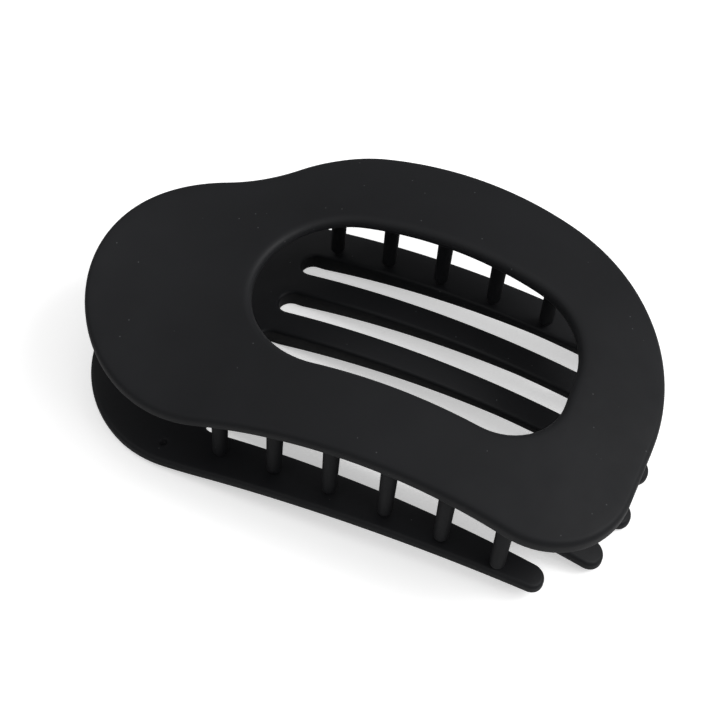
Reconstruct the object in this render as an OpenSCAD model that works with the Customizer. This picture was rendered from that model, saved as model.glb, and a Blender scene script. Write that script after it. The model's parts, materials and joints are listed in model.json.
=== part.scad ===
// Flat claw clip for hair: a domed top jaw with a thumb pad and a window, over a
// lower jaw of long open-ended fingers, sprung shut about a steel pin.
// Frame: X runs from the thumb pads (-X) to the finger tips (+X), Y across the jaws,
// Z up. The origin is on the surface the clip lies on, under the middle of its box.
// The clip is drawn shut.

/* [Overall] */
// Length from the thumb pad's end to the longest finger's tip
clip_l = 109.2; // [92:0.2:132]
// Width of the top jaw
clip_w = 73; // [62:1:86]
// Clear height between the finger crown and the top jaw's rim
jaw_gap = 16; // [13:0.5:20]
// Wall thickness of both jaws
shell_t = 2.4; // [1.8:0.1:3]
// Thickness that the lower jaw gains per mm towards the roots of the fingers
root_gain = 0.045; // [0.03:0.005:0.06]
// Thickness that the top jaw gains per mm towards the finger tips
front_gain = 0.012; // [0.008:0.002:0.04]

/* [Jaw curves] */
// Radius of the long arch of both jaws
arch_r = 160; // [130:5:240]
// Radius of the top jaw's dome across its width
dome_r = 200; // [160:5:300]
// Where the long arch has its crown, along X
arch_x = 11.2; // [6:0.2:16]
// Radius at which the top thumb pad flares up
pad_flare_r = 80; // [70:5:160]
// Radius at which the lower thumb pad levels out
pad_level_r = 120; // [100:5:150]

/* [Top jaw outline] */
// Radius of the thumb pad
pad_r = 28; // [25:0.5:30]
// Radius of the far shoulder beside the neck
shoulder_r = 25.5; // [22:0.5:27]
// Radius of the far corner over the finger tips
corner_r = 41; // [38:0.5:42]
// Radius of the near corner over the finger tips
near_corner_r = 16; // [10:0.5:18]
// Radius of the hollow in the near side
near_hollow_r = 218; // [190:2:400]

/* [Window] */
// Left end of the window, along X
win_x0 = -25.4; // [-27:0.2:-21]
// Right end of the window, along X
win_x1 = 36.6; // [33:0.2:40]
// Near edge of the window, along Y
win_y0 = -18.2; // [-21:0.1:-16]
// Far edge of the window, along Y
win_y1 = 17; // [14:0.5:18]

/* [Fingers and posts] */
// Number of fingers on the lower jaw
finger_n = 6; // [5:1:7]
// Width of the slots between the fingers
slot_w = 5; // [4.2:0.1:5.8]
// Posts along each side of the top jaw
post_n = 6; // [5:1:7]
// Diameter of a post at its root
post_d = 3.2; // [2.6:0.1:3.4]
// Diameter of a post at its tip
post_tip_d = 2.8; // [2.2:0.1:3]
// Clearance between a post's tip and the finger below it
tip_gap = 0.2; // [0.1:0.05:0.4]

/* [Hinge] */
// Pin position along X
hinge_x = -35; // [-37:0.5:-32]
// Pin height above the surface
hinge_z = 12.6; // [11.6:0.2:14]
// Pin diameter
pin_d = 3; // [2.4:0.1:3.4]
// Radial clearance of the pin in the ears
pin_gap = 0.04; // [0.02:0.01:0.08]
// Radius of the hinge ears around the pin
ear_r = 4; // [3.6:0.1:4.4]
// Thickness of one hinge ear
ear_t = 2.4; // [2:0.1:2.8]

/* [Spring] */
// Wire diameter
wire_d = 1.2; // [0.9:0.1:1.3]
// Mean diameter of the coil
coil_d = 5.6; // [5.3:0.1:5.9]
// Whole turns of the coil
coil_turns = 5; // [4:1:5]

/* [Hidden] */
$fn = 96;
BLACK = [0.06, 0.06, 0.065];
STEEL = [0.62, 0.63, 0.65];
hl = clip_l / 2;
hw = clip_w / 2;

// Long arch of the lower jaw: crown height, neck slope and the pad's reversed arc
neck_s = 33 / 160;                    // sine of the slope at the neck
low_crown = 8.1 + (shell_t - 2.4);
low_c = [arch_x, low_crown - arch_r];
low_n = [-neck_s, sqrt(1 - neck_s * neck_s)];
low_pc = low_c + (arch_r + pad_level_r) * low_n;

// Long arch of the top jaw's underside, measured from the axis of its dome
top_crown = low_crown + jaw_gap + dome_r - sqrt(dome_r * dome_r - pow(hw - dome_y(), 2));
dome_z = top_crown - dome_r;
top_c = [arch_x, dome_r - arch_r];
top_pc = top_c + (arch_r + shell_t + pad_flare_r) * low_n;

// Lower jaw across: far edge, near edge at the tips, slots between
low_y1 = hw - 7.4;
low_y0 = -hw + 4.5;
near_finger_w = 5;                        // at its tip
slot_y0 = low_y0 + 5.8;                   // near edge of the nearest slot
slot_pitch = (low_y1 - low_y0 + 2.62) / finger_n;
slot_x0 = -25.6;
tip_r = 60;
tip_c = [hl - 0.25 - tip_r, -3];
hinge_y = -5;

// Post rows: y, first x and pitch
post_rows = [
    [low_y0 + 1.6, -0.1768 * clip_l, 0.1005 * clip_l * 5 / (post_n - 1)],
    [low_y1 - 5.7, -0.184 * clip_l, 0.1026 * clip_l * 5 / (post_n - 1)]];

// Where the lower jaw starts to thicken, going left, and where it has thickened fully
root_x1 = 22;
root_x0 = arch_x - arch_r * neck_s;
// Where the top jaw starts to thicken, going right
front_x = -12;

function dome_y() = 2;
function hyp(r, d) = sqrt(r * r - d * d);
function unit(v) = v / norm(v);

// Where circles (a, ra) and (b, rb) cross, on the left (s = 1) or right of a to b
function meet(a, ra, b, rb, s) =
    let (d = norm(b - a), u = (b - a) / d, m = (ra * ra - rb * rb + d * d) / (2 * d))
    a + m * u + s * sqrt(max(0, ra * ra - m * m)) * [-u[1], u[0]];

// Height of the lower jaw's inner face at x
function low_z(x) = x > low_c[0] - arch_r * neck_s
    ? low_c[1] + hyp(arch_r, x - low_c[0])
    : low_pc[1] - hyp(pad_level_r, x - low_pc[0]);

// Height of the top jaw's underside at x, y
function top_z(x, y) = let (r = x > top_c[0] - arch_r * neck_s
        ? top_c[1] + hyp(arch_r, x - top_c[0])
        : top_pc[1] - hyp(pad_flare_r + shell_t, x - top_pc[0]))
    dome_z + hyp(r, y - dome_y());

// Right end of a finger whose centreline is at y and whose tip has radius r
function tip_x(y, r) = tip_c[0] + hyp(tip_r - r, y - tip_c[1]);

// Flat outline of circles c = [x, y, r], taken anticlockwise. link[i] joins circle i
// to the next: 0 a straight tangent, above 0 an arc that bulges out, below 0 a hollow.
// A circle wider than the outline has a fourth value, the y below which it is left out.
module outline(c, link) {
    n = len(c);
    polygon([for (k = c) [k[0], k[1]]]);
    for (k = c) {
        if (len(k) > 3) intersection() {
            translate([k[0], k[1]]) circle(k[2]);
            translate([-clip_l, k[3]]) square([2 * clip_l, clip_w]);
        } else translate([k[0], k[1]]) circle(k[2]);
    }
    for (i = [0 : n - 1]) {
        p = c[i];
        q = c[(i + 1) % n];
        a = [p[0], p[1]];
        b = [q[0], q[1]];
        R = link[i];
        if (R > 0) {
            o = meet(a, R - p[2], b, R - q[2], 1);
            intersection() {
                translate(o) circle(R, $fn = 128);
                polygon([a, a + R * unit(a - o), b + R * unit(b - o), b]);
            }
        } else if (R < 0) {
            o = meet(a, p[2] - R, b, q[2] - R, -1);
            difference() {
                polygon([a, o, b]);
                translate(o) circle(-R, $fn = 128);
            }
        } else {
            d = norm(b - a);
            u = (b - a) / d;
            s = (p[2] - q[2]) / d;
            v = s * u + sqrt(1 - s * s) * [u[1], -u[0]];
            polygon([a, a + p[2] * v, b + q[2] * v, b]);
        }
    }
}

// Points of an arc about c with radius r, at angles a0 to a1 from upright
function arc(c, r, a0, a1, steps) =
    [for (k = [0 : steps]) let (a = a0 + (a1 - a0) * k / steps) c + r * [sin(a), cos(a)]];

// Long section of the lower jaw, left to right: the pad's arc, then the arch
module low_section() {
    a = asin(neck_s);
    far = 24;
    polygon(concat(
        arc(low_pc, pad_level_r + shell_t, 200, 180 - a, 12),
        arc(low_c, arch_r - shell_t, -a, far, 16),
        arc(low_c, arch_r, far, -a, 16),
        arc(low_pc, pad_level_r, 180 - a, 200, 12)));
}

// What thickens the lower jaw from root_x1 to root_x0, and on to the surface it lies on
module low_root() {
    polygon(concat(
        [for (k = [0 : 12]) let (x = root_x1 + (root_x0 - root_x1) * k / 12)
            [x, low_z(x) - shell_t - 0.12 - root_gain * (root_x1 - x)]],
        [[root_x0, -2], [root_x0 - 18, -2]],
        [for (k = [0 : 12]) let (x = root_x0 - 18 + (root_x1 - root_x0 + 18) * k / 12)
            [x, low_z(x) - shell_t / 2]]));
}

// Everything below an arch of radius r about c that runs on, left of the neck, as the
// reversed arc of radius pr about pc
module below_curve(c, r, pc, pr) {
    translate(c) circle(r, $fn = 128);
    difference() {
        polygon([c, pc, pc - [70, 0], c - [120, 0]]);
        translate(pc) circle(pr, $fn = 128);
    }
}

// Long section of the top jaw, whose underside has radius arch_r at the arch
module top_section() {
    a = asin((front_x - arch_x) / arch_r);
    p = top_c + arch_r * [sin(a), cos(a)];
    intersection() {
        difference() {
            below_curve(top_c, arch_r + shell_t, top_pc, pad_flare_r);
            intersection() {
                below_curve(top_c, arch_r, top_pc, pad_flare_r + shell_t);
                // right of front_x the underside falls away from the outer face
                union() {
                    translate(p + arch_r * [-sin(a + atan(front_gain)), -cos(a + atan(front_gain))])
                        circle(arch_r, $fn = 128);
                    translate([front_x - 150, p[1] - 150]) square([150, 300]);
                }
            }
        }
        translate([-hl - 6, dome_r - 30]) square([2 * hl + 12, 60]);
    }
}

module top_outline() {
    rf = 0.723 * clip_l;                      // far side
    o = [0.0155 * clip_l, hw - rf];
    x1 = hl - 1.1 - corner_r;
    x2 = -0.0893 * clip_l;
    near_y = -hw + 2.9 + near_corner_r;
    outline([
        [-hl + pad_r, -hw + pad_r, pad_r],
        [hl - 1.1 - near_corner_r, near_y, near_corner_r],
        [x1, o[1] + hyp(rf - corner_r, x1 - o[0]), corner_r, near_y],
        [x2, o[1] + hyp(rf - shoulder_r, x2 - o[0]), shoulder_r]],
        [-near_hollow_r, 0, rf, -38.5]);
}

module window_outline() {
    re = 16.9;                                // end over the hinge
    rc = 16;                                  // far corner
    rn = 11;                                  // near corner
    outline([
        [win_x0 + re, win_y0 + re, re],
        [win_x1 - rn, win_y0 + 0.4 + rn, rn],
        [win_x1 - 0.4 - rc, win_y1 - 1.8 - rc, rc]],
        [-190, 0, 88]);
}

module top_wall() {
    intersection() {
        translate([0, dome_y(), dome_z])
            rotate([0, 90, 0]) rotate([0, 0, 164]) rotate_extrude(angle = 32, $fn = 128)
                mirror([1, -1]) top_section();
        linear_extrude(60) difference() {
            top_outline();
            window_outline();
        }
    }
}

module post(x, y) {
    z0 = low_z(x) + tip_gap;
    z1 = top_z(x, y) + shell_t / 2;
    r = post_tip_d / 2;
    translate([x, y, 0]) {
        translate([0, 0, z0 + r]) sphere(r, $fn = 20);
        translate([0, 0, z0 + r]) cylinder(h = z1 - z0 - r, r1 = r, r2 = post_d / 2, $fn = 20);
    }
}

// Ear in the XZ plane: the round end at the pin and the web to the wall
module ear_shape(xa, za, xb, zb) {
    translate([hinge_x, hinge_z]) circle(ear_r);
    polygon([[hinge_x - ear_r, hinge_z], [hinge_x + ear_r, hinge_z], [xb, zb], [xa, za]]);
}

// Plate of thickness t in the XZ plane, from y to y + t
module plate_y(y, t) {
    translate([0, y + t, 0]) rotate([90, 0, 0]) linear_extrude(t) children();
}

module bore(gap) {
    translate([hinge_x, hinge_y, hinge_z]) rotate([90, 0, 0])
        cylinder(h = 40, r = pin_d / 2 + gap, center = true);
}

low_ear_y = 5.2;                              // inner face, from the hinge's middle
top_ear_y = low_ear_y + ear_t + 0.3;
pin_half = top_ear_y + ear_t + 0.3;

module upper_jaw() {
    color(BLACK) {
        difference() {
            union() {
                top_wall();
                for (y = [hinge_y - top_ear_y - ear_t, hinge_y + top_ear_y])
                    plate_y(y, ear_t) ear_shape(
                        hinge_x - 7, top_z(hinge_x - 7, y) + shell_t / 2,
                        hinge_x + 7, top_z(hinge_x + 7, y) + shell_t / 2);
            }
            bore(pin_gap);
        }
        for (row = post_rows, i = [0 : post_n - 1]) post(row[1] + i * row[2], row[0]);
    }
}

// Plan of the lower jaw: a thumb pad, then fingers with open slots between them
module finger_plan() {
    w = slot_pitch - slot_w;
    sx = slot_x0 + slot_w / 2;
    rt = near_finger_w / 2;
    yn = slot_y0 - rt - 0.1;
    xn = tip_x(yn, rt) - 4;
    yf = slot_y0 + (finger_n - 1) * slot_pitch - w;
    rf = w / 2;
    cf = [hl - 19, low_y1 - 20];                 // middle of the far corner
    pf = cf + [hyp(20 - rf, yf + rf - cf[1]), yf + rf - cf[1]];
    intersection() {
        outline([
            [-hl + 25.3, -hw + 25.9, 25],
            [xn, yn, rt],
            [cf[0], cf[1], 20],
            [-hl + 29.6, low_y1 - 12, 12]],
            [800, tip_r, 0, -34]);
        union() {
            difference() {
                translate([-hl - 5, -hw]) square([hl + 5 + sx, clip_w]);
                for (i = [0 : finger_n - 2])
                    translate([sx, slot_y0 + slot_w / 2 + i * slot_pitch]) circle(slot_w / 2);
            }
            // near finger and far finger
            translate([sx - 1, -hw]) square([xn - sx + 1, slot_y0 + hw]);
            translate([xn, yn]) circle(rt + 0.1);
            translate([sx - 1, yf]) square([pf[0] - sx + 1, hw]);
            translate(pf) circle(rf);
            polygon([pf, pf + 12 * unit(pf - cf), pf + [0, 12]]);
        }
    }
    // inner fingers
    for (i = [1 : finger_n - 2]) {
        y = slot_y0 + i * slot_pitch - w / 2;
        translate([sx - 1, y - w / 2]) square([tip_x(y, w / 2) - sx + 1, w]);
        translate([tip_x(y, w / 2), y]) circle(w / 2);
    }
}

module lower_jaw() {
    color(BLACK) difference() {
        union() {
            intersection() {
                union() {
                    plate_y(-hw, clip_w) low_section();
                    plate_y(slot_y0 + slot_w / 2, hw - slot_y0 - slot_w / 2) low_root();
                }
                linear_extrude(40) finger_plan();
            }
            for (y = [hinge_y - low_ear_y - ear_t, hinge_y + low_ear_y])
                plate_y(y, ear_t) ear_shape(
                    hinge_x - 7, low_z(hinge_x - 7) - shell_t / 2,
                    hinge_x + 7, low_z(hinge_x + 7) - shell_t / 2);
        }
        bore(pin_gap / 2);
        // gate mark on the inner face, by the near edge
        translate([hinge_x + 4.5, -hw + 4.8, low_z(hinge_x + 4.5) - 0.6])
            cylinder(h = 5, r = 0.6);
    }
}

module hinge_pin() {
    color(STEEL) translate([hinge_x, hinge_y, hinge_z]) rotate([90, 0, 0]) {
        cylinder(h = 2 * pin_half, r = pin_d / 2, center = true);
        for (s = [0, 1]) mirror([0, 0, s])
            translate([0, 0, pin_half]) cylinder(h = 0.8, r1 = pin_d / 2 + 0.5, r2 = pin_d / 2);
    }
}

// Wire of the spring: rings of 8 points along a leg, the coil and a second leg.
// a is the angle round the coil, so the leg at each end leaves on its tangent.
coil_r = coil_d / 2;
a_start = -55;
a_end = 55 + 360 * coil_turns;
coil_half = (wire_d + 0.22) * (a_end - a_start) / 720;
coil_steps = 12 * coil_turns + 4;
function radial(a) = [cos(a), 0, sin(a)];
function coil_at(t) = let (a = a_start + (a_end - a_start) * t)
    [hinge_x, hinge_y - coil_half + 2 * coil_half * t, hinge_z] + coil_r * radial(a);
low_leg = (coil_at(0)[2] - low_z(hinge_x - 8) - wire_d / 2 - 0.2) / sin(35);
top_leg = (top_z(hinge_x - 8, hinge_y) - coil_at(1)[2] - wire_d / 2 - 0.4) / sin(35);
wire_path = concat(
    [[coil_at(0) + low_leg * [-cos(35), 0, -sin(35)], a_start]],
    [for (k = [0 : coil_steps]) [coil_at(k / coil_steps),
        a_start + (a_end - a_start) * k / coil_steps]],
    [[coil_at(1) + top_leg * [-cos(35), 0, sin(35)], a_end]]);

module torsion_spring() {
    m = 8;
    n = len(wire_path);
    color(STEEL) polyhedron(
        points = [for (p = wire_path, j = [0 : m - 1])
            p[0] + wire_d / 2 * (cos(j * 360 / m) * radial(p[1]) + sin(j * 360 / m) * [0, 1, 0])],
        faces = concat(
            [[for (j = [0 : m - 1]) j]],
            [for (i = [0 : n - 2], j = [0 : m - 1])
                [i * m + j, (i + 1) * m + j, (i + 1) * m + (j + 1) % m, i * m + (j + 1) % m]],
            [[for (j = [0 : m - 1]) n * m - 1 - j]]));
}

upper_jaw();
lower_jaw();
hinge_pin();
torsion_spring();
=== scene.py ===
import json
import math

import bpy
import numpy as np
from mathutils import Matrix, Vector
from mathutils.geometry import delaunay_2d_cdt


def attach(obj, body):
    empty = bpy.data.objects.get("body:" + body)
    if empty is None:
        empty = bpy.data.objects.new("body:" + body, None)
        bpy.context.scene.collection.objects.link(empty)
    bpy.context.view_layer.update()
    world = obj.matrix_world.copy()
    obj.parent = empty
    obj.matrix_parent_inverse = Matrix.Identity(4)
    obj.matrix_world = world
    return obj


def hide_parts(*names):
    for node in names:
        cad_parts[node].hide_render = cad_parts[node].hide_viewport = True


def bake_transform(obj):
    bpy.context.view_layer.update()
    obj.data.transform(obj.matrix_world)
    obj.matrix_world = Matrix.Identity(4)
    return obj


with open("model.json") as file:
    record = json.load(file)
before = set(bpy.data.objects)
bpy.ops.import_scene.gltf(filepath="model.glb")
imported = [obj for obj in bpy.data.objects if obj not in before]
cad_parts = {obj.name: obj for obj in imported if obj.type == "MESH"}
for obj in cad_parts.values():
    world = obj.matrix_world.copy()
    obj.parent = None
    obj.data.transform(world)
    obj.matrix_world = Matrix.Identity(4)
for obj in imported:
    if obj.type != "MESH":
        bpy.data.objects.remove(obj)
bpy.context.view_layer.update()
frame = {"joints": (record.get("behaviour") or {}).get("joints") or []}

# Lower jaw -------------------------------------------------------------------
# The jaw that the clip lies on: one moulding with a thumb pad behind, and in
# front six long fingers parted by five open slots. It is arched along its
# length, and every edge has the small round that the mould leaves.

MM = 0.001                                  # sizes are in mm until a mesh is made
HALF_LENGTH, HALF_WIDTH = 54.6, 36.5
WALL = 2.4
ARCH_RADIUS = 160.0                         # long arch of both jaws
ARCH_X = 11.2                               # where it is highest
NECK_SINE = 33 / 160                        # slope where the arch meets the pad
LOW_CROWN = 8.1
LOW_PAD_RADIUS = 120.0
POINT_STEP = 1.3                            # along an outline
TURN_STEP = math.radians(7)
GRID_STEP = 2.0                             # between the points inside a face
ROOT_X, ROOT_GAIN = 24.0, 0.045             # where the wall starts to thicken, and how fast
ROOT_FADE = 5.0                             # width over which that comes in, across the jaw

low_centre = np.array([ARCH_X, LOW_CROWN - ARCH_RADIUS])
neck_out = np.array([-NECK_SINE, math.sqrt(1 - NECK_SINE ** 2)])
low_pad_centre = low_centre + (ARCH_RADIUS + LOW_PAD_RADIUS) * neck_out


def long_section(x, centre, radius, pad_centre, pad_radius):
    """Height at x of a long section: the arch, and behind the neck the pad's arc."""
    x = np.asarray(x, float)
    arch = centre[1] + np.sqrt(np.maximum(radius ** 2 - (x - centre[0]) ** 2, 0))
    pad = pad_centre[1] - np.sqrt(np.maximum(pad_radius ** 2 - (x - pad_centre[0]) ** 2, 0))
    return np.where(x > centre[0] - radius * NECK_SINE, arch, pad)


def low_inner(x):
    """Height of the lower jaw's inner face."""
    return long_section(x, low_centre, ARCH_RADIUS, low_pad_centre, LOW_PAD_RADIUS)


def low_outer(x, y):
    """Height of its outer face, which is flat where it lies on the table. The wall
    thickens towards the roots of the fingers, except along the near edge."""
    x, y = np.asarray(x, float), np.asarray(y, float)
    below = long_section(x, low_centre, ARCH_RADIUS - WALL, low_pad_centre, LOW_PAD_RADIUS + WALL)
    inward = np.clip((y - slot_y + 1) / ROOT_FADE, 0, 1)
    below -= ROOT_GAIN * np.maximum(ROOT_X - x, 0) * inward * inward * (3 - 2 * inward)
    return np.maximum(below, 0.0)


def arc(centre, radius, start, end, out=1):
    """An arc's points, each with the way out of the wall; out is -1 in a hollow."""
    steps = max(3, math.ceil(abs(end - start) / TURN_STEP),
                math.ceil(abs(end - start) * radius / POINT_STEP))
    angle = np.linspace(start, end, steps + 1)
    ray = np.stack([np.cos(angle), np.sin(angle)], 1)
    return np.hstack([np.asarray(centre) + radius * ray, out * ray])


def straight(start, end, out):
    """The points between two ends of a straight edge, without the ends."""
    start, end = np.asarray(start, float), np.asarray(end, float)
    steps = max(2, math.ceil(np.linalg.norm(end - start) / POINT_STEP))
    part = np.linspace(0, 1, steps + 1)[1:-1, None]
    return np.hstack([start + part * (end - start), np.repeat([out], steps - 1, 0)])


def unit(v):
    return v / np.linalg.norm(v)


def crossing(a, ra, b, rb, side):
    """Where two circles cross, on the left (1) or right (-1) of a to b."""
    gap = np.linalg.norm(b - a)
    along = (b - a) / gap
    m = (ra ** 2 - rb ** 2 + gap ** 2) / (2 * gap)
    return a + m * along + side * math.sqrt(max(0, ra ** 2 - m ** 2)) * np.array([-along[1], along[0]])


def heading(v):
    return math.atan2(v[1], v[0])


def joined_arcs(circles, links):
    """Anticlockwise circles (x, y, r) and what joins each to the next: 0 a straight
    edge, above 0 a bulging arc, below 0 a hollow. Gives the circles' arcs and the
    joins, in turn."""
    count = len(circles)
    leave, arrive, joins = [None] * count, [None] * count, []
    for i, radius in enumerate(links):
        j = (i + 1) % count
        a, ra = np.array(circles[i][:2], float), circles[i][2]
        b, rb = np.array(circles[j][:2], float), circles[j][2]
        if radius == 0:
            gap = np.linalg.norm(b - a)
            along = (b - a) / gap
            s = (ra - rb) / gap
            way = s * along + math.sqrt(1 - s * s) * np.array([along[1], -along[0]])
            leave[i] = arrive[j] = way
            joins.append(straight(a + ra * way, b + rb * way, way))
        elif radius > 0:
            o = crossing(a, radius - ra, b, radius - rb, 1)
            leave[i], arrive[j] = unit(a - o), unit(b - o)
            start = heading(leave[i])
            joins.append(arc(o, radius, start, start + (heading(arrive[j]) - start) % math.tau)[1:-1])
        else:
            o = crossing(a, ra - radius, b, rb - radius, -1)
            leave[i], arrive[j] = unit(o - a), unit(o - b)
            start = heading(-leave[i])
            joins.append(arc(o, -radius, start, start - (start - heading(-arrive[j])) % math.tau, -1)[1:-1])
    pieces = []
    for i, (x, y, r) in enumerate(circles):
        start = heading(arrive[i])
        pieces += [arc((x, y), r, start, start + (heading(leave[i]) - start) % math.tau), joins[i]]
    return pieces


def inside(points, loops):
    """Which of the points lie inside the loops, by counting edges to the right."""
    hits = np.zeros(len(points), int)
    for loop in loops:
        a, b = loop[:, :2], np.roll(loop[:, :2], -1, 0)
        for k in range(0, len(points), 2000):
            p = points[k:k + 2000]
            spans = (a[:, 1] > p[:, 1:2]) != (b[:, 1] > p[:, 1:2])
            at = a[:, 0] + (p[:, 1:2] - a[:, 1]) * (b[:, 0] - a[:, 0]) / np.where(
                b[:, 1] == a[:, 1], 1e-9, b[:, 1] - a[:, 1])
            hits[k:k + 2000] += (spans & (at > p[:, :1])).sum(1)
    return hits % 2 == 1


ROW_SHARE, CLEAR_SHARE = 0.87, 0.38         # of the grid step: between rows, and off other points


def inner_points(loops, extra):
    """A staggered grid inside the loops, clear of their points, and the extra points."""
    every = np.vstack([loop[:, :2] for loop in loops])
    low, high = every.min(0), every.max(0)
    xs = np.arange(low[0], high[0], GRID_STEP)
    rows = np.arange(low[1] + 0.4, high[1], GRID_STEP * ROW_SHARE)
    grid = np.array([(x + (k % 2) * GRID_STEP / 2, y) for k, y in enumerate(rows) for x in xs])
    grid = grid[inside(grid, loops)]
    taken = np.vstack([every, extra]) if len(extra) else every
    near = np.array([np.min(np.sum((taken - g) ** 2, 1)) for g in grid])
    grid = grid[near > (CLEAR_SHARE * GRID_STEP) ** 2]
    return np.vstack([grid, extra]) if len(extra) else grid


def plate(name, loops, upper, lower, rims, lay=None, extra=()):
    """A wall between the heights upper(x, y) and lower(x, y). loops are its outline
    and its holes, and rims the upper and lower radius of the rounds along each."""
    turns = np.linspace(0, math.pi / 2, 6)
    rings = [(t, upper, -1) for t in turns] + [(t, lower, 1) for t in turns[::-1]]
    places, faces, rim_value, first_rings = [], [], [], []
    for loop, rim in zip(loops, rims):
        count = len(loop)
        base = sum(map(len, places))
        for turn, height, way in rings:
            radius = rim[0] if way < 0 else rim[1]
            at = loop[:, :2] - radius * (1 - math.sin(turn)) * loop[:, 2:]
            z = height(at[:, 0], at[:, 1]) + way * radius * (1 - math.cos(turn))
            places.append(np.column_stack([at, z]))
            rim_value.append(np.full(count, min(1.0, 1.4 * math.sin(turn))))
        for k in range(len(rings) - 1):
            for i in range(count):
                j = (i + 1) % count
                a, b = base + k * count, base + (k + 1) * count
                faces.append((a + i, b + i, b + j, a + j))
        first_rings.append((base, base + (len(rings) - 1) * count, count))
    for side, height in enumerate((upper, lower)):
        flat_loops = [loop[:, :2] - rim[side] * loop[:, 2:] for loop, rim in zip(loops, rims)]
        fill = inner_points(flat_loops, np.asarray(extra, float).reshape(-1, 2))
        flat = np.vstack(flat_loops + [fill])
        edges, start = [], 0
        for _, _, count in first_rings:
            edges += [(start + i, start + (i + 1) % count) for i in range(count)]
            start += count
        made, _, triangles, origin, _, _ = delaunay_2d_cdt(
            [Vector(p) for p in flat], edges, [], 0, 1e-7)
        made = np.array([(v.x, v.y) for v in made])
        triangles = np.array([t[:] for t in triangles])
        triangles = triangles[inside(made[triangles].mean(1), flat_loops)]
        corner = made[triangles]
        turn = np.cross(corner[:, 1] - corner[:, 0], corner[:, 2] - corner[:, 0])
        triangles[turn < 0] = triangles[turn < 0][:, ::-1]
        base = sum(map(len, places))
        places.append(np.column_stack([fill, height(fill[:, 0], fill[:, 1])]))
        rim_value.append(np.zeros(len(fill)))
        index = np.concatenate([np.arange(ring[2]) + ring[side] for ring in first_rings]
                               + [np.arange(len(fill)) + base])
        of_made = np.array([index[o[0]] for o in origin])
        mapped = of_made[triangles]
        faces += [tuple(t) for t in (mapped if side == 0 else mapped[:, ::-1])]
    points = np.vstack(places)
    if lay is not None:
        points = np.column_stack(lay(points[:, 0], points[:, 1], points[:, 2]))
    mesh = bpy.data.meshes.new(name)
    mesh.from_pydata((points * MM).tolist(), [], [tuple(map(int, f)) for f in faces])
    mesh.validate()
    mesh.shade_smooth()
    # rim marks the rounds along each outline: the black material paints a lighter highlight there and makes
    # them a little smoother
    mesh.attributes.new("rim", "FLOAT", "POINT").data.foreach_set(
        "value", np.concatenate(rim_value).astype(np.float32))
    piece = bpy.data.objects.new(name, mesh)
    bpy.context.scene.collection.objects.link(piece)
    return piece


LOW_FAR, LOW_NEAR = 29.1, -32.0             # far edge, and near edge at the tip
SLOT_WIDTH, SLOT_X = 5.0, -25.6
FINGERS = 6
TIP_RADIUS, TIP_CENTRE = 60.0, (HALF_LENGTH - 60.25, -3.0)
NEAR_TIP, NEAR_SETBACK = 2.5, 4.0           # half the near finger's width, and how much shorter it is
LOW_PAD_ROUND, LOW_FAR_ROUND, LOW_CORNER_ROUND = 25.0, 12.0, 20.0
LOW_NEAR_BULGE, LOW_NECK_HOLLOW = 800, -34
LOW_RIM = (0.75, 0.75)
slot_y = LOW_NEAR + 5.8
slot_pitch = (LOW_FAR - LOW_NEAR + 2.62) / FINGERS
half_finger = (slot_pitch - SLOT_WIDTH) / 2


def finger_end(y, radius):
    """Where the centre of a fingertip's round lies: the tips follow one big arc."""
    return TIP_CENTRE[0] + math.sqrt((TIP_RADIUS - radius) ** 2 - (y - TIP_CENTRE[1]) ** 2)


near_y = slot_y - NEAR_TIP
near_x = finger_end(near_y, NEAR_TIP) - NEAR_SETBACK
far_corner = np.array([HALF_LENGTH - 19, LOW_FAR - LOW_CORNER_ROUND])
far_y = slot_y + (FINGERS - 1) * slot_pitch - half_finger
far_x = far_corner[0] + math.sqrt((LOW_CORNER_ROUND - half_finger) ** 2 - (far_y - far_corner[1]) ** 2)
far_turn = heading(np.array([far_x, far_y]) - far_corner)
outline = joined_arcs(
    [(-HALF_LENGTH + 0.3 + LOW_PAD_ROUND, -HALF_WIDTH + 0.9 + LOW_PAD_ROUND, LOW_PAD_ROUND),
     (near_x, near_y, NEAR_TIP), (*far_corner, LOW_CORNER_ROUND),
     (-HALF_LENGTH + 29.6, LOW_FAR - LOW_FAR_ROUND, LOW_FAR_ROUND)],
    [LOW_NEAR_BULGE, TIP_RADIUS, 0, LOW_NECK_HOLLOW])
quarter = math.pi / 2
near_start = heading(outline[1][-1][2:])
path = [outline[0], outline[1], arc((near_x, near_y), NEAR_TIP, near_start, quarter)]
for i in range(FINGERS - 1):
    slot_mid = slot_y + SLOT_WIDTH / 2 + i * slot_pitch
    slot_end = SLOT_X + SLOT_WIDTH / 2
    low_side, high_side = slot_mid - SLOT_WIDTH / 2, slot_mid + SLOT_WIDTH / 2
    path += [straight(path[-1][-1, :2], (slot_end, low_side), (0, 1)),
             arc((slot_end, slot_mid), SLOT_WIDTH / 2, -quarter, -quarter - math.pi, -1)]
    tip_y = high_side + half_finger
    if i < FINGERS - 2:
        tip_x = finger_end(tip_y, half_finger)
        end = arc((tip_x, tip_y), half_finger, -quarter, quarter)
    else:
        end = arc((far_x, far_y), half_finger, -quarter, far_turn)
    path += [straight((slot_end, high_side), end[0, :2], (0, -1)), end]
path += [arc(far_corner, LOW_CORNER_ROUND, far_turn, heading(outline[4][-1][2:]))[1:]] + outline[5:]
low_loop = np.vstack(path)

GATE = (-30.5, -31.7)                       # mark where the plastic was fed in
GATE_RADIUS, GATE_DEPTH = 0.85, 0.7
gate_rings = [GATE] + [
    (GATE[0] + r * math.cos(k * math.tau / 14), GATE[1] + r * math.sin(k * math.tau / 14))
    for r in (0.3, 0.5, 0.62, 0.74, 0.9, 1.15) for k in range(14)]


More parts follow.
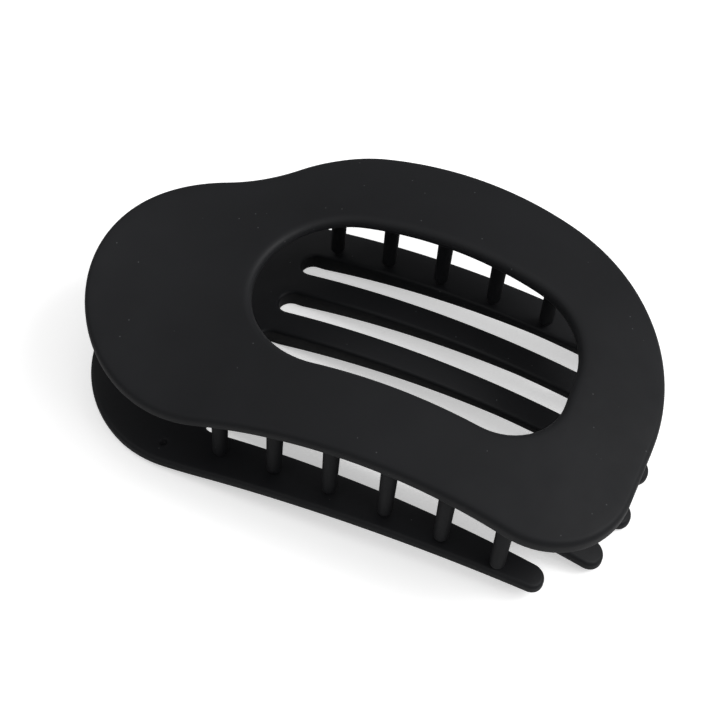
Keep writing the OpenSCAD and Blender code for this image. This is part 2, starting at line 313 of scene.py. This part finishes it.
def low_inner_marked(x, y):
    """The inner face with the small round pit of the gate."""
    away = np.hypot(x - GATE[0], y - GATE[1]) / GATE_RADIUS
    pit = np.clip((1 - away) / 0.4, 0, 1)
    return low_inner(x) - GATE_DEPTH * pit * pit * (3 - 2 * pit)


lower_plate = plate("lower_plate", [low_loop], low_inner_marked, low_outer, [LOW_RIM],
                    extra=gate_rings)


def soft_black():
    """Rubbery black coating over plastic: matt, very slightly clouded, a little
    smoother along the handled edges, where a lighter colour is also painted on
    as a highlight, and with a few specks of dust."""
    m = bpy.data.materials.new("soft_black")
    m.use_nodes = True
    nodes, links = m.node_tree.nodes, m.node_tree.links
    nodes.clear()
    out = nodes.new("ShaderNodeOutputMaterial")
    surface = nodes.new("ShaderNodeBsdfPrincipled")
    surface.inputs["Specular IOR Level"].default_value = 0.22
    links.new(surface.outputs[0], out.inputs[0])
    place = nodes.new("ShaderNodeTexCoord")

    def noise(scale, detail):
        n = nodes.new("ShaderNodeTexNoise")
        n.inputs["Scale"].default_value = scale
        n.inputs["Detail"].default_value = detail
        links.new(place.outputs["Object"], n.inputs["Vector"])
        return n.outputs["Fac"]

    def spread(value, low, high, to_low, to_high):
        n = nodes.new("ShaderNodeMapRange")
        for k, v in zip((1, 2, 3, 4), (low, high, to_low, to_high)):
            n.inputs[k].default_value = v
        links.new(value, n.inputs[0])
        return n.outputs[0]

    def mixed(factor, a, b):
        n = nodes.new("ShaderNodeMix")
        n.data_type = "RGBA"
        links.new(factor, n.inputs[0])
        for socket, value in ((n.inputs[6], a), (n.inputs[7], b)):
            if isinstance(value, tuple):
                socket.default_value = (*value, 1)
            else:
                links.new(value, socket)
        return n.outputs[2]

    def calc(kind, a, b):
        n = nodes.new("ShaderNodeMath")
        n.operation = kind
        for socket, value in zip(n.inputs, (a, b)):
            if isinstance(value, (int, float)):
                socket.default_value = value
            else:
                links.new(value, socket)
        return n.outputs[0]

    rim = nodes.new("ShaderNodeAttribute")
    rim.attribute_name = "rim"
    cloud = spread(noise(42, 3), 0.3, 0.7, 0, 1)
    colour = mixed(cloud, (0.0056, 0.0059, 0.0071), (0.0080, 0.0084, 0.0100))
    # painted highlight: the colour turns lighter on the rounded edges that the rim attribute marks
    colour = mixed(calc("MULTIPLY", rim.outputs["Fac"], 0.5), colour, (0.012, 0.0125, 0.014))
    specks = nodes.new("ShaderNodeTexVoronoi")
    specks.inputs["Scale"].default_value = 330
    links.new(place.outputs["Object"], specks.inputs["Vector"])
    speck = spread(specks.outputs["Distance"], 0.030, 0.055, 1, 0)
    colour = mixed(calc("MULTIPLY", speck, 0.3), colour, (0.16, 0.165, 0.17))
    links.new(colour, surface.inputs["Base Color"])
    rough = spread(noise(95, 4), 0.3, 0.7, 0.56, 0.66)
    rough = calc("SUBTRACT", rough, calc("MULTIPLY", rim.outputs["Fac"], 0.10))
    links.new(rough, surface.inputs["Roughness"])
    bump = nodes.new("ShaderNodeBump")
    bump.inputs["Strength"].default_value = 0.35
    bump.inputs["Distance"].default_value = 0.00004
    links.new(noise(2600, 2), bump.inputs["Height"])
    links.new(bump.outputs[0], surface.inputs["Normal"])
    return m


black = soft_black()
lower_plate.data.materials.append(black)
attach(lower_plate, "lower")
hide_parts("lower_jaw")

# Lower hinge ears --------------------------------------------------------------
# Two upright ears moulded on the inner face at the neck. The pin is a running
# fit in them, and the coil of the spring sits between them.

hinge = np.array(frame["joints"][0]["pos_m"]) / MM
PIN_RADIUS, EAR_RADIUS, EAR_WALL = 1.5, 4.0, 2.4
EAR_RIM, BORE_RIM = (0.35, 0.35), (0.2, 0.2)
LOW_RUNNING_GAP, TOP_RUNNING_GAP = 0.02, 0.04
LOW_EAR_Y = 5.2                             # inner face, from the middle of the hinge
EAR_FOOT, FOOT_ROUND = 6.4, 0.6             # half of its foot along the clip, and the foot's corners
FOOT_BULGE, WEB_HOLLOW = 300, -16           # the foot's line, hidden in the wall, and the two sides


def ear(name, y_low, foot_z, running_gap):
    """An ear between y_low and y_low + EAR_WALL, standing in the wall at foot_z."""
    way = 1 if foot_z(hinge[0]) < hinge[2] else -1
    ends = [(hinge[0] - way * EAR_FOOT, foot_z(hinge[0] - way * EAR_FOOT), FOOT_ROUND),
            (hinge[0] + way * EAR_FOOT, foot_z(hinge[0] + way * EAR_FOOT), FOOT_ROUND),
            (hinge[0], hinge[2], EAR_RADIUS)]
    loop = np.vstack(joined_arcs(ends, [FOOT_BULGE, WEB_HOLLOW, WEB_HOLLOW]))
    bore = arc((hinge[0], hinge[2]), PIN_RADIUS + running_gap, math.tau, 0, -1)[:-1]
    return plate(name, [loop, bore], lambda u, v: np.full(len(u), -y_low),
                 lambda u, v: np.full(len(u), -y_low - EAR_WALL), [EAR_RIM, BORE_RIM],
                 lay=lambda u, v, h: (u, -h, v))


def low_foot(x):
    return float(low_inner(x)) - WALL / 2


for side, y_low in (("near", hinge[1] - LOW_EAR_Y - EAR_WALL), ("far", hinge[1] + LOW_EAR_Y)):
    low_ear = ear(f"lower_ear_{side}", y_low, low_foot, LOW_RUNNING_GAP)
    low_ear.data.materials.append(black)
    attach(low_ear, "lower")

# Hinge pin -----------------------------------------------------------------------
# A short steel rod through all four ears, with a small head at each end that
# keeps it in. It stays with the lower jaw.

PIN_HALF, HEAD_LENGTH, HEAD_RADIUS = 10.6, 0.8, 1.95
half_profile = [(0, PIN_RADIUS), (PIN_HALF - 0.05, PIN_RADIUS), (PIN_HALF, PIN_RADIUS + 0.05),
                (PIN_HALF, HEAD_RADIUS - 0.1), (PIN_HALF + 0.08, HEAD_RADIUS)]
for k in range(1, 8):
    turn = k * quarter / 8
    half_profile.append((PIN_HALF + 0.08 + (HEAD_LENGTH - 0.08) * math.sin(turn),
                         HEAD_RADIUS * math.cos(turn)))
profile = [(-y, r) for y, r in half_profile[:0:-1]] + half_profile[1:]


def turned(name, profile, sides=40):
    """A round piece on the hinge's axis from (distance along it, radius) pairs."""
    places, faces = [(0, profile[0][0] - 0.02, 0)], []
    for along, radius in profile:
        places += [(radius * math.cos(k * math.tau / sides), along,
                    radius * math.sin(k * math.tau / sides)) for k in range(sides)]
    places.append((0, profile[-1][0] + 0.02, 0))
    last = len(places) - 1
    for k in range(sides):
        n = (k + 1) % sides
        faces.append((0, 1 + k, 1 + n))
        for ring in range(len(profile) - 1):
            a, b = 1 + ring * sides, 1 + (ring + 1) * sides
            faces.append((a + k, b + k, b + n, a + n))
        faces.append((last, 1 + (len(profile) - 1) * sides + n, 1 + (len(profile) - 1) * sides + k))
    mesh = bpy.data.meshes.new(name)
    mesh.from_pydata(((np.array(places) + hinge) * MM).tolist(), [], faces)
    mesh.shade_smooth()
    piece = bpy.data.objects.new(name, mesh)
    bpy.context.scene.collection.objects.link(piece)
    return piece


def drawn_steel():
    """Bright drawn steel, with fine scratches along the wire."""
    m = bpy.data.materials.new("drawn_steel")
    m.use_nodes = True
    nodes, links = m.node_tree.nodes, m.node_tree.links
    surface = nodes["Principled BSDF"]
    surface.inputs["Metallic"].default_value = 1.0
    place = nodes.new("ShaderNodeTexCoord")
    streak = nodes.new("ShaderNodeTexNoise")
    streak.inputs["Scale"].default_value = 1400
    streak.inputs["Detail"].default_value = 4
    links.new(place.outputs["Object"], streak.inputs["Vector"])
    tone = nodes.new("ShaderNodeMix")
    tone.data_type = "RGBA"
    tone.inputs[6].default_value = (0.42, 0.43, 0.45, 1)
    tone.inputs[7].default_value = (0.60, 0.61, 0.63, 1)
    links.new(streak.outputs["Fac"], tone.inputs[0])
    links.new(tone.outputs[2], surface.inputs["Base Color"])
    rough = nodes.new("ShaderNodeMapRange")
    rough.inputs[3].default_value = 0.22
    rough.inputs[4].default_value = 0.38
    links.new(streak.outputs["Fac"], rough.inputs[0])
    links.new(rough.outputs[0], surface.inputs["Roughness"])
    return m


steel = drawn_steel()
pin = turned("pin_rod", profile)
pin.data.materials.append(steel)
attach(pin, "lower")
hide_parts("hinge_pin")

# Torsion spring --------------------------------------------------------------------
# Steel wire wound five times round the pin, with a leg under each thumb pad that
# ends in a short foot lying on the wall.

WIRE_RADIUS, COIL_RADIUS, COIL_TURNS, COIL_STEPS = 0.6, 2.8, 5, 240
LEG_SLOPE = math.radians(35)
coil_start, coil_end = math.radians(-55), math.radians(55) + COIL_TURNS * math.tau
coil_half = (2 * WIRE_RADIUS + 0.22) * (coil_end - coil_start) / (4 * math.pi)


def coil_at(part):
    turn = coil_start + (coil_end - coil_start) * part
    return hinge + np.array([COIL_RADIUS * math.cos(turn), coil_half * (2 * part - 1),
                             COIL_RADIUS * math.sin(turn)])


def leg(start, way, rest_height, gap):
    """A leg from the coil's end down (way -1) or up (1) to the wall, then its foot."""
    along = np.array([-math.cos(LEG_SLOPE), 0, way * math.sin(LEG_SLOPE)])
    reach = 0.0
    while way * (rest_height((start + reach * along)[0]) - (start + reach * along)[2]) > gap:
        reach += 0.05
    knee = start + reach * along
    foot = [np.array([x, start[1], rest_height(x) - way * gap])
            for x in np.linspace(knee[0] - 1.6, knee[0] - 4.4, 6)]
    bend = [(1 - t) ** 2 * (knee - 1.8 * along) + 2 * t * (1 - t) * knee + t * t * foot[0]
            for t in np.linspace(0, 1, 9)[:-1]]
    run = [start + reach * t * along for t in np.linspace(0.04, 0.8, 7)]
    return [p for p in run if np.linalg.norm(p - knee) > 2.2] + bend + foot


# Upper jaw's heights, which the spring's upper leg needs first: an arch along the
# clip like the lower jaw's, turned about a long axis so that it is also domed.
TOP_PAD_RADIUS, DOME_RADIUS, DOME_Y, JAW_GAP = 80.0, 200.0, 2.0, 16.0
FRONT_X, FRONT_GAIN = -12.0, 0.012          # where the wall starts to thicken, and how fast
dome_base = LOW_CROWN + JAW_GAP - math.sqrt(DOME_RADIUS ** 2 - (HALF_WIDTH - DOME_Y) ** 2)
top_centre = np.array([ARCH_X, DOME_RADIUS - ARCH_RADIUS])
top_pad_centre = top_centre + (ARCH_RADIUS + WALL + TOP_PAD_RADIUS) * neck_out


def domed(x, y, thickness):
    """Height at x, y of the upper jaw's underside, or of the face this far above it.
    Towards the front the underside falls away, so the wall there is thicker."""
    reach = long_section(x, top_centre, ARCH_RADIUS + thickness,
                         top_pad_centre, TOP_PAD_RADIUS + WALL - thickness)
    reach -= FRONT_GAIN * np.maximum(np.asarray(x, float) - FRONT_X, 0) * (1 - thickness / WALL)
    return dome_base + np.sqrt(reach ** 2 - (np.asarray(y, float) - DOME_Y) ** 2)


LEG_GAP = WIRE_RADIUS + 0.05
low_leg = leg(coil_at(0), -1, lambda x: float(low_inner(x)), LEG_GAP)
top_leg = leg(coil_at(1), 1, lambda x: float(domed(x, coil_at(1)[1], 0)), LEG_GAP)
wire_line = low_leg[::-1] + [coil_at(k / COIL_STEPS) for k in range(COIL_STEPS + 1)] + top_leg


def swept_wire():
    """A tree that runs a round section along its input line and closes the ends."""
    tree = bpy.data.node_groups.new("swept_wire", "GeometryNodeTree")
    face = tree.interface
    face.new_socket("Geometry", in_out="INPUT", socket_type="NodeSocketGeometry")
    face.new_socket("Wire radius", in_out="INPUT", socket_type="NodeSocketFloat")
    face.new_socket("Sides", in_out="INPUT", socket_type="NodeSocketInt")
    face.new_socket("Material", in_out="INPUT", socket_type="NodeSocketMaterial")
    face.new_socket("Geometry", in_out="OUTPUT", socket_type="NodeSocketGeometry")
    nodes, links = tree.nodes, tree.links
    given, out = nodes.new("NodeGroupInput"), nodes.new("NodeGroupOutput")
    line = nodes.new("GeometryNodeMeshToCurve")
    section = nodes.new("GeometryNodeCurvePrimitiveCircle")
    sweep = nodes.new("GeometryNodeCurveToMesh")
    sweep.inputs["Fill Caps"].default_value = True
    smooth = nodes.new("GeometryNodeSetShadeSmooth")
    real = nodes.new("GeometryNodeRealizeInstances")
    finish = nodes.new("GeometryNodeSetMaterial")
    links.new(given.outputs["Geometry"], line.inputs[0])
    links.new(given.outputs["Wire radius"], section.inputs["Radius"])
    links.new(given.outputs["Sides"], section.inputs["Resolution"])
    links.new(line.outputs[0], sweep.inputs["Curve"])
    links.new(section.outputs[0], sweep.inputs["Profile Curve"])
    links.new(sweep.outputs[0], smooth.inputs[0])
    links.new(smooth.outputs[0], real.inputs[0])
    links.new(real.outputs[0], finish.inputs["Geometry"])
    links.new(given.outputs["Material"], finish.inputs["Material"])
    links.new(finish.outputs[0], out.inputs[0])
    return tree


def grown(name, tree, values, points=(), edges=()):
    """A plain mesh object of what the tree makes from these points and input values."""
    mesh = bpy.data.meshes.new(name)
    mesh.from_pydata([tuple(p) for p in points], edges, [])
    piece = bpy.data.objects.new(name, mesh)
    bpy.context.scene.collection.objects.link(piece)
    modifier = piece.modifiers.new(name, "NODES")
    modifier.node_group = tree
    for socket in tree.interface.items_tree:
        if socket.in_out == "INPUT" and socket.name in values:
            modifier[socket.identifier] = values[socket.name]
    bpy.context.view_layer.update()
    ready = piece.evaluated_get(bpy.context.evaluated_depsgraph_get())
    plain = bpy.data.meshes.new_from_object(ready)
    piece.modifiers.clear()
    piece.data = plain
    return piece


spring = grown("spring_wire", swept_wire(),
               {"Wire radius": WIRE_RADIUS * MM, "Sides": 16, "Material": steel},
               [p * MM for p in wire_line], [(k, k + 1) for k in range(len(wire_line) - 1)])
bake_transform(spring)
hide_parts("torsion_spring")

# Upper jaw -----------------------------------------------------------------------
# The domed jaw on top: one moulding, bean shaped, with a thumb pad behind and a
# bean-shaped window over the hair. Its edges are rounded, the window's most.

far_radius = 0.723 * 2 * HALF_LENGTH
far_middle = np.array([0.0155 * 2 * HALF_LENGTH, HALF_WIDTH - far_radius])


def on_far_side(x, radius):
    """Centre at x of a circle that touches the far side's big arc from inside."""
    return (x, far_middle[1] + math.sqrt((far_radius - radius) ** 2 - (x - far_middle[0]) ** 2), radius)


PAD_ROUND, NEAR_ROUND, CORNER_ROUND, SHOULDER_ROUND = 28.0, 16.0, 41.0, 25.5
NEAR_HOLLOW, NECK_HOLLOW = -218, -38.5      # the long near side, and the far side of the neck
FRONT_INSET = 1.1                           # of the front edge behind the longest finger
top_loop = np.vstack(joined_arcs(
    [(-HALF_LENGTH + PAD_ROUND, -HALF_WIDTH + PAD_ROUND, PAD_ROUND),
     (HALF_LENGTH - FRONT_INSET - NEAR_ROUND, -HALF_WIDTH + 2.9 + NEAR_ROUND, NEAR_ROUND),
     on_far_side(HALF_LENGTH - FRONT_INSET - CORNER_ROUND, CORNER_ROUND),
     on_far_side(-0.0893 * 2 * HALF_LENGTH, SHOULDER_ROUND)],
    [NEAR_HOLLOW, 0, far_radius, NECK_HOLLOW]))
WINDOW_X, WINDOW_Y = (-25.4, 36.6), (-18.2, 17.0)
HINGE_END, WINDOW_NEAR, WINDOW_FAR = 16.9, 11, 16     # its rounds: over the hinge, and in front
WINDOW_HOLLOW, WINDOW_BULGE = -190, 88
window = np.vstack(joined_arcs(
    [(WINDOW_X[0] + HINGE_END, WINDOW_Y[0] + HINGE_END, HINGE_END),
     (WINDOW_X[1] - WINDOW_NEAR, WINDOW_Y[0] + 0.4 + WINDOW_NEAR, WINDOW_NEAR),
     (WINDOW_X[1] - 0.4 - WINDOW_FAR, WINDOW_Y[1] - 1.8 - WINDOW_FAR, WINDOW_FAR)],
    [WINDOW_HOLLOW, 0, WINDOW_BULGE]))
window = np.hstack([window[::-1, :2], -window[::-1, 2:]])
TOP_RIM, WINDOW_RIM = (1.1, 0.7), (1.7, 0.6)
upper_plate = plate("upper_plate", [top_loop, window], lambda x, y: domed(x, y, WALL),
                    lambda x, y: domed(x, y, 0), [TOP_RIM, WINDOW_RIM])
upper_plate.data.materials.append(black)
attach(upper_plate, "upper")
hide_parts("upper_jaw")

# Upper hinge ears ------------------------------------------------------------------
# The same ears hanging from the underside, just outside the lower jaw's, and
# turning on the pin.

TOP_EAR_Y = LOW_EAR_Y + EAR_WALL + 0.3
for side, y_low in (("near", hinge[1] - TOP_EAR_Y - EAR_WALL), ("far", hinge[1] + TOP_EAR_Y)):
    top_ear = ear(f"upper_ear_{side}", y_low,
                  lambda x, y=y_low: float(domed(x, y, WALL / 2)), TOP_RUNNING_GAP)
    top_ear.data.materials.append(black)
    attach(top_ear, "upper")

# Posts -------------------------------------------------------------------------------
# Two rows of six short tapered posts moulded on the underside, one along each long
# side. Their round ends stop just above the nearest and farthest fingers.

POST_ROOT, POST_TIP, TIP_GAP = 1.6, 1.4, 0.2
POSTS, POST_SIDES, POST_RINGS = 6, 28, 40
ROOT_SHARE = 0.16                           # of its length, where the post flares into the wall


def post_row():
    """A tree that stands tapered, round-ended posts in a row along an arch."""
    tree = bpy.data.node_groups.new("post_row", "GeometryNodeTree")
    face = tree.interface
    for label, kind in (("Count", "Int"), ("First x", "Float"), ("Pitch", "Float"),
                        ("Row y", "Float"), ("Arch x", "Float"), ("Arch radius", "Float"),
                        ("Arch height", "Float"), ("Length", "Float"), ("Root radius", "Float"),
                        ("Tip radius", "Float"), ("Flare", "Float"), ("Material", "Material")):
        face.new_socket(label, in_out="INPUT", socket_type="NodeSocket" + kind)
    face.new_socket("Geometry", in_out="OUTPUT", socket_type="NodeSocketGeometry")
    nodes, links = tree.nodes, tree.links
    given, out = nodes.new("NodeGroupInput").outputs, nodes.new("NodeGroupOutput")

    def calc(kind, a, b=0.0):
        n = nodes.new("ShaderNodeMath")
        n.operation = kind
        for socket, value in zip(n.inputs, (a, b)):
            if isinstance(value, (int, float)):
                socket.default_value = value
            else:
                links.new(value, socket)
        return n.outputs[0]

    def vector(x, y, z):
        n = nodes.new("ShaderNodeCombineXYZ")
        for socket, value in zip(n.inputs, (x, y, z)):
            if isinstance(value, (int, float)):
                socket.default_value = value
            else:
                links.new(value, socket)
        return n.outputs[0]

    def moved(geometry, offset):
        n = nodes.new("GeometryNodeSetPosition")
        links.new(geometry, n.inputs["Geometry"])
        links.new(offset, n.inputs["Offset"])
        return n.outputs[0]

    where = nodes.new("ShaderNodeSeparateXYZ")
    links.new(nodes.new("GeometryNodeInputPosition").outputs[0], where.inputs[0])
    # the row: a line of points lifted on to the arch
    row = nodes.new("GeometryNodeMeshLine")
    links.new(given["Count"], row.inputs["Count"])
    links.new(vector(given["First x"], given["Row y"], 0.0), row.inputs["Start Location"])
    links.new(vector(given["Pitch"], 0.0, 0.0), row.inputs["Offset"])
    aside = calc("SUBTRACT", where.outputs[0], given["Arch x"])
    fall = calc("SUBTRACT", given["Arch radius"], calc("SQRT", calc(
        "SUBTRACT", calc("POWER", given["Arch radius"], 2.0), calc("MULTIPLY", aside, aside))))
    row_out = moved(row.outputs[0], vector(0.0, 0.0, calc("SUBTRACT", given["Arch height"], fall)))
    # one post: a line whose points crowd towards the round end, then a turned wall
    axis = nodes.new("GeometryNodeCurvePrimitiveLine")
    links.new(vector(0.0, 0.0, given["Length"]), axis.inputs["End"])
    steps = nodes.new("GeometryNodeResampleCurve")
    steps.inputs["Count"].default_value = POST_RINGS
    links.new(axis.outputs[0], steps.inputs["Curve"])
    part = calc("DIVIDE", where.outputs[2], given["Length"])
    crowd = calc("MULTIPLY", given["Length"], calc("SUBTRACT", calc("POWER", part, 1.9), part))
    line = moved(steps.outputs[0], vector(0.0, 0.0, crowd))
    up = where.outputs[2]
    rise = calc("MINIMUM", up, given["Tip radius"])
    short = calc("SUBTRACT", given["Tip radius"], rise)
    dome = calc("SQRT", calc("MAXIMUM", calc("SUBTRACT", calc(
        "POWER", given["Tip radius"], 2.0), calc("MULTIPLY", short, short)), 0.0))
    taper = calc("MULTIPLY", calc("SUBTRACT", given["Root radius"], given["Tip radius"]),
                 calc("DIVIDE", up, given["Length"]))
    near_root = calc("MAXIMUM", calc("SUBTRACT", calc("DIVIDE", up, given["Length"]), 1 - ROOT_SHARE), 0.0)
    flare = calc("MULTIPLY", given["Flare"],
                 calc("POWER", calc("DIVIDE", near_root, ROOT_SHARE), 3.0))
    width = calc("ADD", dome, calc("ADD", taper, flare))
    sized = nodes.new("GeometryNodeSetCurveRadius")
    links.new(line, sized.inputs[0])
    links.new(width, sized.inputs["Radius"])
    section = nodes.new("GeometryNodeCurvePrimitiveCircle")
    section.inputs["Radius"].default_value = 1.0
    section.inputs["Resolution"].default_value = POST_SIDES
    wall = nodes.new("GeometryNodeCurveToMesh")
    wall.inputs["Fill Caps"].default_value = True
    links.new(sized.outputs[0], wall.inputs["Curve"])
    links.new(section.outputs[0], wall.inputs["Profile Curve"])
    scale = nodes.new("GeometryNodeInputRadius")
    links.new(scale.outputs[0], wall.inputs["Scale"])
    closed = nodes.new("GeometryNodeMergeByDistance")
    closed.inputs["Distance"].default_value = 2e-6
    links.new(wall.outputs[0], closed.inputs["Geometry"])
    placed = nodes.new("GeometryNodeInstanceOnPoints")
    links.new(row_out, placed.inputs["Points"])
    links.new(closed.outputs[0], placed.inputs["Instance"])
    real = nodes.new("GeometryNodeRealizeInstances")
    links.new(placed.outputs[0], real.inputs[0])
    smooth = nodes.new("GeometryNodeSetShadeSmooth")
    links.new(real.outputs[0], smooth.inputs[0])
    finish = nodes.new("GeometryNodeSetMaterial")
    links.new(smooth.outputs[0], finish.inputs["Geometry"])
    links.new(given["Material"], finish.inputs["Material"])
    links.new(finish.outputs[0], out.inputs[0])
    return tree


row_tree = post_row()
for side, row_y, first, pitch in (("near", LOW_NEAR + 1.6, -0.1768, 0.1005),
                                  ("far", LOW_FAR - 5.7, -0.184, 0.1026)):
    first, pitch = first * 2 * HALF_LENGTH, pitch * 2 * HALF_LENGTH
    middle = first + pitch * (POSTS - 1) / 2
    tip_height = float(low_inner(middle)) + TIP_GAP
    posts = grown(f"posts_{side}", row_tree, {
        "Count": POSTS, "First x": first * MM, "Pitch": pitch * MM, "Row y": row_y * MM,
        "Arch x": ARCH_X * MM, "Arch radius": ARCH_RADIUS * MM,
        "Arch height": (LOW_CROWN + TIP_GAP) * MM,
        "Length": (float(domed(middle, row_y, WALL / 2)) - tip_height) * MM,
        "Root radius": POST_ROOT * MM, "Tip radius": POST_TIP * MM, "Flare": 0.5 * MM,
        "Material": black})
    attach(posts, "upper")

# Table, light and camera ------------------------------------------------------------
# A white table that runs out of sight, a soft white ceiling that fades towards the
# horizon, and two soft lamps to the right. None of it is part of the clip.

TABLE_HALF, CAMERA_LIFT = 2.0, 0.46         # half its side, and the glow that only the lens sees
table_mesh = bpy.data.meshes.new("table_top")
table_mesh.from_pydata([(-TABLE_HALF, -TABLE_HALF, 0), (TABLE_HALF, -TABLE_HALF, 0),
                        (TABLE_HALF, TABLE_HALF, 0), (-TABLE_HALF, TABLE_HALF, 0)], [], [(0, 1, 2, 3)])
table_top = bpy.data.objects.new("table_top", table_mesh)
table_top.location.z = -0.00002
bpy.context.scene.collection.objects.link(table_top)


def table_white():
    """Matt white board. What the lens sees of it is lifted to white paper, and it
    gives back less light to the clip than a bare white board would."""
    m = bpy.data.materials.new("table_white")
    m.use_nodes = True
    nodes, links = m.node_tree.nodes, m.node_tree.links
    nodes.clear()
    out = nodes.new("ShaderNodeOutputMaterial")
    ray = nodes.new("ShaderNodeLightPath")
    tone = nodes.new("ShaderNodeMix")
    tone.data_type = "RGBA"
    tone.inputs[6].default_value = (0.62, 0.62, 0.62, 1)
    tone.inputs[7].default_value = (0.95, 0.95, 0.95, 1)
    board = nodes.new("ShaderNodeBsdfDiffuse")
    glow = nodes.new("ShaderNodeEmission")
    lift = nodes.new("ShaderNodeMath")
    lift.operation = "MULTIPLY"
    lift.inputs[1].default_value = CAMERA_LIFT
    both = nodes.new("ShaderNodeAddShader")
    links.new(ray.outputs["Is Camera Ray"], tone.inputs[0])
    links.new(tone.outputs[2], board.inputs["Color"])
    links.new(ray.outputs["Is Camera Ray"], lift.inputs[0])
    links.new(lift.outputs[0], glow.inputs["Strength"])
    links.new(board.outputs[0], both.inputs[0])
    links.new(glow.outputs[0], both.inputs[1])
    links.new(both.outputs[0], out.inputs["Surface"])
    return m


table_mesh.materials.append(table_white())

sky = bpy.data.worlds.new("white_sky")
bpy.context.scene.world = sky
sky.use_nodes = True
nodes, links = sky.node_tree.nodes, sky.node_tree.links
glow = nodes["Background"]
glow.inputs["Color"].default_value = (1, 1, 1, 1)
ray = nodes.new("ShaderNodeLightPath")
toward = nodes.new("ShaderNodeTexCoord")
axes = nodes.new("ShaderNodeSeparateXYZ")
links.new(toward.outputs["Generated"], axes.inputs[0])
ceiling = nodes.new("ShaderNodeMapRange")
ceiling.interpolation_type = "SMOOTHSTEP"
for socket, value in zip(ceiling.inputs[1:5], (0.05, 0.9, 0.06, 0.78)):
    socket.default_value = value
links.new(axes.outputs[2], ceiling.inputs[0])
shown = nodes.new("ShaderNodeMath")
shown.operation = "MAXIMUM"
links.new(ceiling.outputs[0], shown.inputs[0])
links.new(ray.outputs["Is Camera Ray"], shown.inputs[1])
links.new(shown.outputs[0], glow.inputs["Strength"])


def lamp(name, place, size, power):
    """A square soft lamp that faces the clip."""
    made = bpy.data.lights.new(name, "AREA")
    made.shape, made.size, made.energy = "SQUARE", size, power
    holder = bpy.data.objects.new(name, made)
    holder.location = place
    holder.rotation_mode = "QUATERNION"
    holder.rotation_quaternion = (Vector((0, 0, 0.01)) - Vector(place)).to_track_quat("-Z", "Y")
    bpy.context.scene.collection.objects.link(holder)


lamp("lamp_right", (1.45, 0.35, 1.35), 1.6, 16.0)
lamp("lamp_key", (1.15, 0.65, 1.5), 0.7, 8.0)

# The camera looks down from the near side, turned a little to the right and tilted.
CAMERA_TURN, CAMERA_RISE, CAMERA_ROLL = math.radians(19.503), math.radians(54), math.radians(5.744)
CAMERA_PLACE = (0.0578, -0.1763, 0.2635)
camera_data = bpy.data.cameras.new("camera")
camera_data.sensor_width, camera_data.lens = 36.0, 82.5
camera_data.clip_start, camera_data.clip_end = 0.01, 10
camera = bpy.data.objects.new("camera", camera_data)
bpy.context.scene.collection.objects.link(camera)
back = Vector((math.sin(CAMERA_TURN) * math.cos(CAMERA_RISE),
               -math.cos(CAMERA_TURN) * math.cos(CAMERA_RISE), math.sin(CAMERA_RISE)))
level = Vector((math.cos(CAMERA_TURN), math.sin(CAMERA_TURN), 0))
upright = back.cross(level)
sideways = level * math.cos(CAMERA_ROLL) + upright * math.sin(CAMERA_ROLL)
over = back.cross(sideways)
camera.matrix_world = Matrix.Translation(CAMERA_PLACE) @ Matrix(
    (sideways, over, back)).transposed().to_4x4()
bpy.context.scene.camera = camera
bpy.context.scene.view_settings.view_transform = "Standard"
